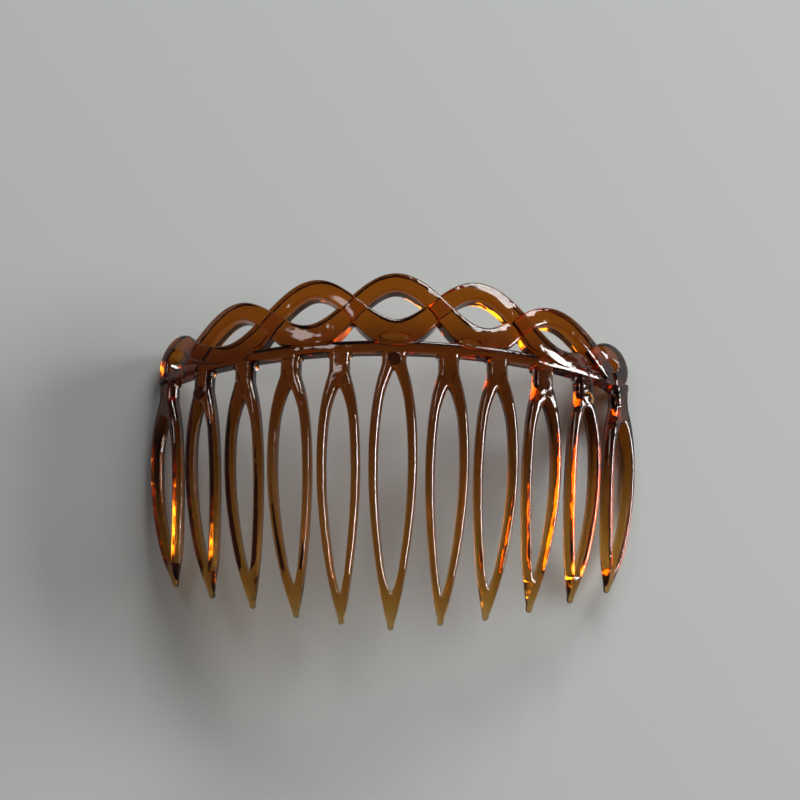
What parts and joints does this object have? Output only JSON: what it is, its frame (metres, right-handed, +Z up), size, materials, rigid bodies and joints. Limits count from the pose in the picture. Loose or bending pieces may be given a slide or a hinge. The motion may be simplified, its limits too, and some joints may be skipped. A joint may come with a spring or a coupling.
{
  "type": "hair comb",
  "caption": "Bowed side comb for hair, with loop teeth hanging from a slim spine and an openwork two-strand twist along the top, in clear amber plastic.",
  "frame": {"origin": "under the middle of the comb's bounding box, on the surface it lies on with its rounded face up", "axes": "+X along the comb's width, -Y along the teeth towards their tips, +Z up, out of the rounded face"},
  "size_m": [0.0804, 0.061, 0.0219],
  "materials": {
    "amber_plastic": "polished transparent amber, tortoiseshell brown where it is thick"
  },
  "bodies": {
    "root": {"tooth_01": "amber_plastic", "tooth_02": "amber_plastic", "tooth_03": "amber_plastic", "tooth_04": "amber_plastic", "tooth_05": "amber_plastic", "tooth_06": "amber_plastic", "tooth_07": "amber_plastic", "tooth_08": "amber_plastic", "tooth_09": "amber_plastic", "tooth_10": "amber_plastic", "tooth_11": "amber_plastic", "ejector_pad_02": "amber_plastic", "ejector_pad_06": "amber_plastic", "ejector_pad_10": "amber_plastic", "twist_strand_a": "amber_plastic", "twist_strand_b": "amber_plastic", "left_end_loop": "amber_plastic", "right_end_loop": "amber_plastic", "spine_bar": "amber_plastic"}
  },
  "joints": []
}
